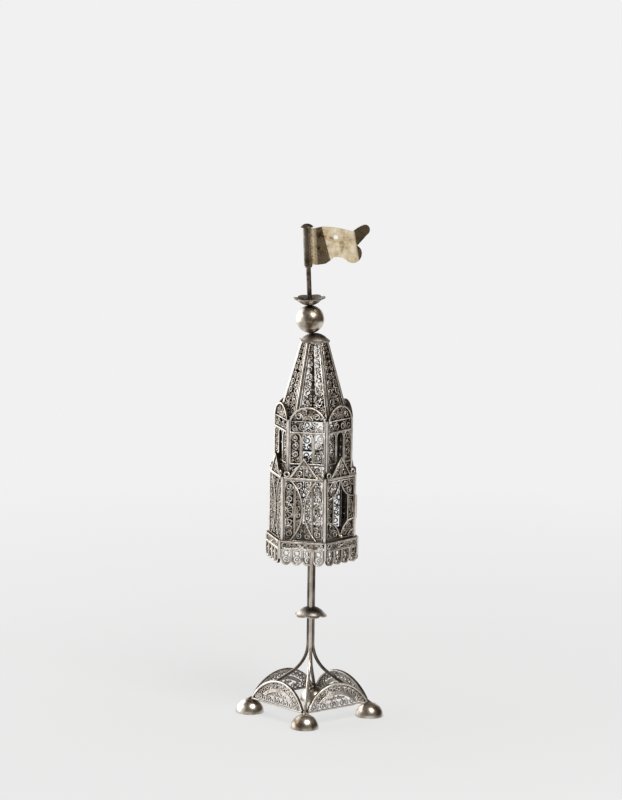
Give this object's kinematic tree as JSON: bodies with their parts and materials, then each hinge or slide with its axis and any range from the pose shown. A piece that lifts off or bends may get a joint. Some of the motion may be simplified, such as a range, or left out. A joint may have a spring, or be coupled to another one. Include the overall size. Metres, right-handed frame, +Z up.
{
  "type": "spice tower",
  "caption": "Tall silver filigree spice box shaped as a hexagonal tower on a stem, with a hinged door, a pointed spire, domed feet and a flag that turns on its mast.",
  "frame": {"origin": "on the floor under the middle of the square base", "axes": "+Z up along the stem, -Y the side of the tower door, X and Y along the sides of the square base"},
  "size_m": [0.0498, 0.0498, 0.2197],
  "materials": {
    "filigree_silver": "drawn silver wire, soft shine, tarnished in the corners",
    "wire_silver": "bright rubbed silver wire",
    "polished_silver": "polished silver, slightly yellowed",
    "dark_silver": "tarnished plain silver sheet and rod",
    "gilt_silver": "worn gilding on silver, satin"
  },
  "bodies": {
    "tower": {"ball": "polished_silver", "base_panel_back": "filigree_silver", "base_panel_front": "filigree_silver", "base_panel_left": "filigree_silver", "base_panel_right": "filigree_silver", "calyx": "polished_silver", "door_knuckles": "wire_silver", "door_pin": "dark_silver", "flag_cap": "gilt_silver", "floor_plate": "dark_silver", "foot_back_left": "polished_silver", "foot_back_right": "polished_silver", "foot_front_left": "polished_silver", "foot_front_right": "polished_silver", "gable_1": "filigree_silver", "gable_2": "filigree_silver", "gable_3": "filigree_silver", "gable_4": "filigree_silver", "gable_5": "filigree_silver", "gable_6": "filigree_silver", "gallery_panel_1": "filigree_silver", "gallery_panel_2": "filigree_silver", "gallery_panel_3": "filigree_silver", "gallery_panel_4": "filigree_silver", "gallery_panel_5": "filigree_silver", "gallery_panel_6": "filigree_silver", "gallery_posts": "wire_silver", "leg_rod_back_left": "wire_silver", "leg_rod_back_right": "wire_silver", "leg_rod_front_left": "wire_silver", "leg_rod_front_right": "wire_silver", "mast": "dark_silver", "mast_socket": "dark_silver", "roof_plate": "dark_silver", "skirt_panel_1": "filigree_silver", "skirt_panel_2": "filigree_silver", "skirt_panel_3": "filigree_silver", "skirt_panel_4": "filigree_silver", "skirt_panel_5": "filigree_silver", "skirt_panel_6": "filigree_silver", "skirt_posts": "wire_silver", "spire_cap": "polished_silver", "spire_panel_1": "filigree_silver", "spire_panel_2": "filigree_silver", "spire_panel_3": "filigree_silver", "spire_panel_4": "filigree_silver", "spire_panel_5": "filigree_silver", "spire_panel_6": "filigree_silver", "spire_ribs": "wire_silver", "stem_knop": "polished_silver", "terrace": "dark_silver", "wall_panel_1": "filigree_silver", "wall_panel_2": "filigree_silver", "wall_panel_3": "filigree_silver", "wall_panel_4": "filigree_silver", "wall_panel_5": "filigree_silver", "wall_posts": "wire_silver"},
    "door": {"door_leaf": "filigree_silver", "door_knob": "gilt_silver"},
    "vane": {"flag": "gilt_silver"}
  },
  "joints": [
    {"name": "door_swing", "type": "hinge", "parent": "tower", "child": "door", "pos_m": [0.01075, -0.01657, 0.0951], "axis": [0, 0, 1], "range_deg": [0, 115]},
    {"name": "flag_turn", "type": "hinge", "parent": "tower", "child": "vane", "pos_m": [0, 0, 0.1349], "axis": [-0.0374, 0.0314, 0.9988], "continuous": true}
  ]
}
